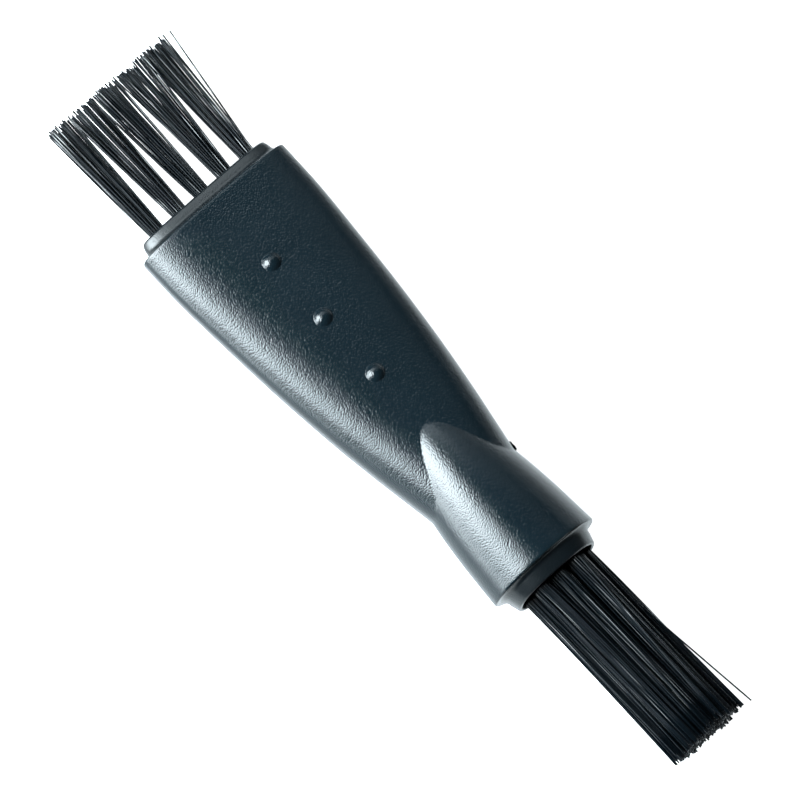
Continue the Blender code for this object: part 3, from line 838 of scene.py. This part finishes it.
def packed_places(pitch):
    """Pairs of places in a hole, one on each side of its anchor, in a hexagonal packing."""
    limit = HOLE_DIAMETER / 2 - FILAMENT_DIAMETER / 2
    row_pitch = pitch * math.sqrt(3) / 2
    rows = int(limit / row_pitch)
    pairs = []
    for row in range(-rows, rows + 1):
        z = row * row_pitch
        shift = PACKING_SHIFT if row % 2 else -PACKING_SHIFT
        steps = range(-PACKING_STEPS, PACKING_STEPS + 1)
        row_ys = [(k + shift) * pitch for k in steps]
        row_ys = [y for y in row_ys if math.hypot(y, z) <= limit]
        right = sorted(y for y in row_ys if y > 0)
        left = sorted((y for y in row_ys if y < 0), reverse=True)
        pairs += [((a, z), (b, z)) for a, b in zip(right, left)]
    return pairs


wide_packing = packed_places(WIDE_FILAMENT_PITCH)
narrow_packing = packed_places(NARROW_FILAMENT_PITCH)
print(2 * len(wide_packing), "filament ends in a wide tuft,", 2 * len(narrow_packing), "in a narrow one")


# %% Drawing a filament
CUT_END_RUN = 0.35
CUT_END_SHARE = 0.6


def tube(points, radius):
    """Rings of points round a line, turned along with it so that the tube never twists."""
    points = np.array(points)
    ways = np.gradient(points, axis=0)
    ways /= np.linalg.norm(ways, axis=1)[:, None]
    across = np.cross(ways[0], (0.0, 0.0, 1.0))
    rings = []
    for way in ways:
        across = across - way * across.dot(way)
        across /= np.linalg.norm(across)
        upward = np.cross(way, across)
        turns = [math.tau * k / FILAMENT_SIDES for k in range(FILAMENT_SIDES)]
        rings.append([across * math.cos(a) + upward * math.sin(a) for a in turns])
    return points, np.array(rings) * radius


def add_tube(work, points, radius):
    """Adds a tube whose two cut ends are slightly rounded off."""
    points, rings = tube(points, radius)
    for end, inner in ((0, 1), (-1, -2)):
        way = points[end] - points[inner]
        way /= np.linalg.norm(way)
        tip = points[end] + way * radius * CUT_END_RUN
        points = np.insert(points, 0 if end == 0 else len(points), tip, axis=0)
        last = rings[end] * CUT_END_SHARE
        rings = np.insert(rings, 0 if end == 0 else len(rings), last, axis=0)
    rows = [[work.verts.new(p + r) for r in ring] for p, ring in zip(points, rings)]
    for near, far in zip(rows, rows[1:]):
        join_rows(work, near, far)
    work.faces.new(rows[0])
    work.faces.new(rows[-1])


print("filament tool ready")

# %% [markdown]
# ### From hole to tip
# Inside the hole a filament runs straight past its anchor. Outside, it leaves the mouth in the
# direction in which its end stands, with a slight bow. Filaments lean on each other, so those that
# stand together keep together: each tuft has a few groups, and each group has a lean of its own.

# %% One tuft
LEG_STEPS = 9
FOLD_STEPS = 6
BOW = 0.07 * MM
GROUPS = 6
# how far a filament keeps to its own side of the anchor, and where it stands straight in the mouth
BESIDE_SHARE = 0.72
MOUTH_STRAIGHT = 0.3 * MM
STEP_CROWDING = 1.3
BURST_POWER = 6
BOW_POWER = 0.8
FOLD_LIMIT = 0.85 * MM
FOLD_DEPTH_SHARE = 0.62
THINNEST = 0.92
THICKEST = 1.06


def leg(mouth, out, root, tip, bow, burst):
    """The line of one end of a filament, from the anchor's side to the tip.

    `burst` is the share of its sideways way that it has gone soon after it leaves the hole."""
    y, z = root
    beside = math.copysign(ANCHOR_SIDE + FILAMENT_DIAMETER / 2, y) + y * BESIDE_SHARE
    points = [(mouth - out * ANCHOR_DRIVEN_DEPTH, beside, z)]
    points.append((mouth - out * ANCHOR_OUTER_DEPTH, beside, z))
    points.append((mouth - out * ANCHOR_OUTER_DEPTH / 2, (beside + y) / 2, z))
    points.append((mouth - out * MOUTH_STRAIGHT, y, z))
    for k in range(1, LEG_STEPS + 1):
        way = (k / LEG_STEPS) ** STEP_CROWDING
        side_way = way * (1 - burst) + burst * (1 - (1 - way) ** BURST_POWER)
        swell = math.sin(math.pi * way**BOW_POWER)
        x = mouth + out * tip[0] * way
        at_y = y + (tip[1] - y) * side_way + bow[0] * swell
        at_z = z + (tip[2] - z) * side_way + bow[1] * swell
        points.append((x, at_y, at_z))
    return points


def fold(mouth, out, first, second):
    """The half turn under the anchor that joins two legs of a filament."""
    (x, y0, z0), (_, y1, z1) = first, second
    depth = min((y0 - y1) / 2, FOLD_LIMIT) * FOLD_DEPTH_SHARE
    points = []
    for k in range(1, FOLD_STEPS):
        turn = math.pi * k / FOLD_STEPS
        share = (1 - math.cos(turn)) / 2
        at_x = x - out * depth * math.sin(turn)
        points.append((at_x, y0 + (y1 - y0) * share, z0 + (z1 - z0) * share))
    return points


def make_groups(rng, scatter):
    """Places in the hole, each with the lean of the filaments that are nearest to it."""
    reach = HOLE_DIAMETER / 2
    groups = []
    for _ in range(GROUPS):
        middle = (rng.uniform(-reach, reach), rng.uniform(-reach, reach))
        groups.append((middle, rng.gauss(0, scatter), rng.gauss(0, scatter)))
    return groups


def make_tuft(name, node, mouth, out, place, packing, tip_of, burst, scatter, seed, stray=None):
    """Makes every filament of a tuft and puts it in the place of the measured model's tuft."""
    rng = random.Random(seed)
    work = bmesh.new()
    y0, z0 = place
    groups = make_groups(rng, scatter)
    stray_root, stray_tip = None, None
    if stray:
        stray_start, stray_tip = stray
        roots = [root for pair in packing for root in pair]
        stray_root = min(roots, key=lambda root: math.dist(root, stray_start))
    for pair in packing:
        legs = []
        for root in pair:
            _, lean_y, lean_z = min(groups, key=lambda group: math.dist(group[0], root))
            tip = tip_of(rng, root, place, (lean_y, lean_z))
            bow = (rng.gauss(0, BOW), rng.gauss(0, BOW))
            if root == stray_root:
                legs.append(leg(mouth, out, root, stray_tip, (0, 0), 0.0))
            else:
                legs.append(leg(mouth, out, root, tip, bow, burst))
        line = legs[0][::-1] + fold(mouth, out, legs[0][0], legs[1][0]) + legs[1]
        radius = FILAMENT_DIAMETER / 2 * rng.uniform(THINNEST, THICKEST)
        add_tube(work, [(x, y + y0, z + z0) for x, y, z in line], radius)
    tuft = new_piece(name, work, nylon)
    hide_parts(node)
    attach(tuft, "root")


print("tuft tool ready")

# %% [markdown]
# ### The wide row
# Five tufts stand in one row and fan out so far that their ends nearly meet. Near the rim the floor
# shows through in slim wedges between them. One filament on the outside has sprung away from the rest.

# %% The wide row
WIDE_LENGTH = 14.5 * MM
WIDE_SCATTER = 0.2 * MM
WIDE_OWN_SCATTER = 0.05 * MM
WIDE_UNEVEN = 0.3 * MM
WIDE_ROOT_REACH = 0.68 * MM
WIDE_UPRIGHT_SPREAD = 1.5
WIDE_BURST = 0.04
# for each tuft where the middle of its ends lies, then half the width that they spread over
WIDE_TIPS = (
    (-5.85 * MM, 1.45 * MM), (-2.95 * MM, 1.35 * MM), (-0.1 * MM, 1.4 * MM),
    (3.15 * MM, 1.75 * MM), (6.2 * MM, 1.3 * MM),
)
# a filament that has sprung away: where it starts in its hole, then how far out its end is and where
WIDE_STRAY = ((0.8 * MM, 0.2 * MM), (14.3 * MM, 2.62 * MM, 0.6 * MM))


def wide_tip(rng, root, place, lean):
    """Length and sideways place of a filament's end, seen from its own hole."""
    y, z = root
    middle, half_width = WIDE_TIP_PLACES[place]
    spread = half_width / WIDE_ROOT_REACH
    tip_y = middle - place[0] + y * spread + lean[0] + rng.gauss(0, WIDE_OWN_SCATTER)
    tip_z = z * WIDE_UPRIGHT_SPREAD + lean[1] + rng.gauss(0, WIDE_OWN_SCATTER)
    length = WIDE_LENGTH - abs(rng.gauss(0, WIDE_UNEVEN))
    return length, tip_y, tip_z


WIDE_TIP_PLACES = dict(zip(wide_places(), WIDE_TIPS))
for number, place in enumerate(wide_places(), 1):
    stray = WIDE_STRAY if number == WIDE_TUFTS else None
    sizes = (-WIDE_COLLAR_LENGTH, -1, place, wide_packing, wide_tip, WIDE_BURST, WIDE_SCATTER, number)
    make_tuft(f"wide_bristles_{number}", f"wide_tuft_{number}", *sizes, stray)
print("wide row made")

# %% [markdown]
# ### The narrow bundle
# Ten tufts stand so close that they make one thick bundle. Their filaments burst into the gaps just
# above the mouth and cross each other slightly on the way up, but none gets far out of the bundle,
# except for two that have sprung away: one at the side and one that lies across the top.

# %% The narrow bundle
NARROW_LENGTH = 21.9 * MM
NARROW_SPREAD = 1.2
NARROW_FAN = 0.98
NARROW_LEAN = 0.45 * MM
NARROW_SCATTER = 0.24 * MM
NARROW_OWN_SCATTER = 0.2 * MM
NARROW_UNEVEN = 0.45 * MM
NARROW_BURST = 0.3
NARROW_REACH = (4.36 * MM, 3.1 * MM)
# an end that is drawn back lies at this share of the reach, and a little more for some
NARROW_DRAWN_TO = 0.97
NARROW_DRAWN_PLAY = 0.03
NARROW_FIRST_SEED = 100
# the strays by the number of their tuft, each as its start in the hole and its end
NARROW_STRAYS = {
    7: ((-0.4 * MM, 0.7 * MM), (22.0 * MM, 2.35 * MM, 0.4 * MM)),
    3: ((0.5 * MM, 0.8 * MM), (21.0 * MM, -0.55 * MM, 1.9 * MM)),
}


def narrow_tip(rng, root, place, lean):
    """As wide_tip, but an end that would leave the bundle is drawn back into it."""
    tip = []
    for k in (0, 1):
        own = rng.gauss(0, NARROW_OWN_SCATTER)
        tip.append(place[k] * NARROW_FAN + root[k] * NARROW_SPREAD + lean[k] + own)
    outside = math.hypot(tip[0] / NARROW_REACH[0], tip[1] / NARROW_REACH[1])
    draw = 1.0
    if outside >= 1:
        draw = (NARROW_DRAWN_TO + NARROW_DRAWN_PLAY * rng.random()) / outside
    length = NARROW_LENGTH - abs(rng.gauss(0, NARROW_UNEVEN))
    return length, tip[0] * draw + NARROW_LEAN - place[0], tip[1] * draw - place[1]


mouth_floor = SHOULDER_GAP + NARROW_COLLAR_LENGTH - MOUTH_DEPTH
for number, place in enumerate(narrow_places(), 1):
    tail = str(number).zfill(2)
    stray = NARROW_STRAYS.get(number)
    seed = NARROW_FIRST_SEED + number
    sizes = (mouth_floor, 1, place, narrow_packing, narrow_tip, NARROW_BURST, NARROW_SCATTER, seed)
    make_tuft(f"narrow_bristles_{tail}", f"narrow_tuft_{tail}", *sizes, stray)
print("narrow bundle made")

# %% [markdown]
# ## Anchors
# The fifteen anchors sit out of sight at the bottom of the holes. They are cut from flat brass wire:
# faint lines run along the wire, and the metal is slightly tarnished.

# %% Anchors
BRASS_BRIGHT = (0.72, 0.52, 0.24, 1.0)
BRASS_TARNISHED = (0.46, 0.31, 0.15, 1.0)
WIRE_LINE_SIZE = 0.03 * MM
WIRE_LINE_STRETCH = (1.0, 1.0, 0.05)
WIRE_LINE_DEPTH = 0.002 * MM
TARNISH_SIZE = 0.5 * MM
TARNISH_FINENESS = 0.6
BRASS_ROUGHNESS = 0.24
TARNISH_ROUGHNESS = 0.18


def make_brass():
    finish = Finish("anchor_brass")
    place = finish.place()
    lines = finish.noise(place, WIRE_LINE_SIZE, detail=2.0, stretch=WIRE_LINE_STRETCH)
    tarnish = finish.noise(place, TARNISH_SIZE, detail=3.0, rough=TARNISH_FINENESS)
    color = finish.blend(tarnish, BRASS_BRIGHT, BRASS_TARNISHED)
    roughness = BRASS_ROUGHNESS + tarnish * TARNISH_ROUGHNESS
    relief = finish.relief(lines, WIRE_LINE_DEPTH)
    return finish.surface(Base_Color=color, Roughness=roughness, Metallic=1.0, Normal=relief)


brass = make_brass()
anchors = [node for name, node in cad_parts.items() if "anchor" in name]
for anchor in anchors:
    for slot in anchor.material_slots:
        slot.material = brass
print(len(anchors), "anchors in brass")

# %% [markdown]
# ## Floor and light
# The photo is a product shot on plain white: the ground is lit so strongly that no shadow is left. So
# the floor shines by itself. The sheet that the camera sees is plain white, and a brighter one under it
# gives the brush the soft pale rim along its underside. The key light at the upper left makes the
# bright band along the flank. It is three round lamps laid over each other, each wider and weaker than
# the last, so that the band runs out slowly as from a softbox. Two low lamps on the same side reach the
# steep sides. Three weak ones on the far side light the nose and the barrel's other shoulder and give
# the dots their glint. All of them are a little blue, like daylight.

# %% Floor and backdrop
FLOOR_GAP = 0.05 * MM
FLOOR_SIZE = 6.0
BACKDROP_RADIUS = 2.8
SHEET_COLOR = (0.6, 0.6, 0.6, 1.0)
SHEET_ROUGHNESS = 0.8
PLAIN_WHITE = (1.0, 1.0, 1.0)
DAYLIGHT = (0.84, 0.95, 1.0)
BOUNCE_STRENGTH = 1.25
BACKDROP_COLOR = (0.86, 0.87, 0.88)


def glow(name, color, strength):
    """A matt finish that shines by itself."""
    finish = Finish(name)
    finish.surface(Base_Color=SHEET_COLOR, Roughness=SHEET_ROUGHNESS)
    return finish.surface(Emission_Color=(*color, 1.0), Emission_Strength=strength)


def stage_piece(name, work, finish):
    mesh = bpy.data.meshes.new(name)
    work.to_mesh(mesh)
    work.free()
    mesh.materials.append(finish)
    piece = bpy.data.objects.new(name, mesh)
    bpy.context.scene.collection.objects.link(piece)
    piece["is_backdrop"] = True
    return piece


floor_work = bmesh.new()
bmesh.ops.create_grid(floor_work, x_segments=1, y_segments=1, size=FLOOR_SIZE / 2)
floor = stage_piece("floor", floor_work, glow("floor_white", PLAIN_WHITE, 1.0))
floor.location.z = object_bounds()[0].z - FLOOR_GAP
floor.visible_glossy = False
floor.visible_diffuse = False

bounce_work = bmesh.new()
bmesh.ops.create_grid(bounce_work, x_segments=1, y_segments=1, size=FLOOR_SIZE / 2)
bounce_glow = glow("floor_bright", DAYLIGHT, BOUNCE_STRENGTH)
bounce = stage_piece("floor_bounce", bounce_work, bounce_glow)
bounce.location.z = floor.location.z - FLOOR_GAP
bounce.visible_camera = False

wall_work = bmesh.new()
bmesh.ops.create_uvsphere(wall_work, u_segments=48, v_segments=24, radius=BACKDROP_RADIUS)
wall = stage_piece("backdrop", wall_work, glow("backdrop_pale", BACKDROP_COLOR, 1.0))
wall.visible_diffuse = False
wall.visible_glossy = False
wall.visible_transmission = False
wall.visible_shadow = False
print("floor at", round(floor.location.z / MM, 2), "mm")

# %% Lamps
LAMP_DISTANCE = 1.5
WORLD_COLOR = (0.93, 0.97, 1.0, 1.0)
WORLD_STRENGTH = 0.06


def add_lamp(name, way, width, height, brightness):
    """A flat soft lamp in the direction `way` of the brush, as bright as asked at any distance."""
    data = bpy.data.lights.new(name, "AREA")
    data.shape = "ELLIPSE"
    data.size = width
    data.size_y = height
    data.energy = brightness * math.pi * (math.pi / 4 * width * height)
    data.color = DAYLIGHT
    lamp = bpy.data.objects.new(name, data)
    bpy.context.scene.collection.objects.link(lamp)
    direction = Vector(way).normalized()
    lamp.location = direction * LAMP_DISTANCE
    lamp.rotation_euler = direction.to_track_quat("Z", "Y").to_euler()
    lamp.visible_camera = False


# each lamp: direction, width and height in metres, brightness
add_lamp("key_core", (-0.49, -0.56, 0.67), 1.0, 1.0, 17.0)
add_lamp("key_glow", (-0.49, -0.54, 0.68), 1.35, 1.35, 8.0)
add_lamp("key_halo", (-0.46, -0.585, 0.665), 1.7, 1.7, 3.4)
add_lamp("flank_lamp", (-0.33, -0.92, 0.20), 1.0, 0.8, 7.5)
add_lamp("barrel_lamp", (-0.42, -0.88, 0.20), 0.6, 0.8, 7.0)
add_lamp("fill_lamp", (-0.64, 0.20, 0.73), 0.85, 0.75, 2.8)
add_lamp("nose_lamp", (-0.48, 0.66, 0.58), 0.5, 1.1, 0.8)
add_lamp("far_lamp", (-0.25, 0.93, 0.25), 0.9, 0.22, 1.5)

world = bpy.data.worlds.new("studio")
world.use_nodes = True
background = world.node_tree.nodes["Background"]
background.inputs["Color"].default_value = WORLD_COLOR
background.inputs["Strength"].default_value = WORLD_STRENGTH
bpy.context.scene.world = world
bpy.context.scene.view_settings.view_transform = "Standard"
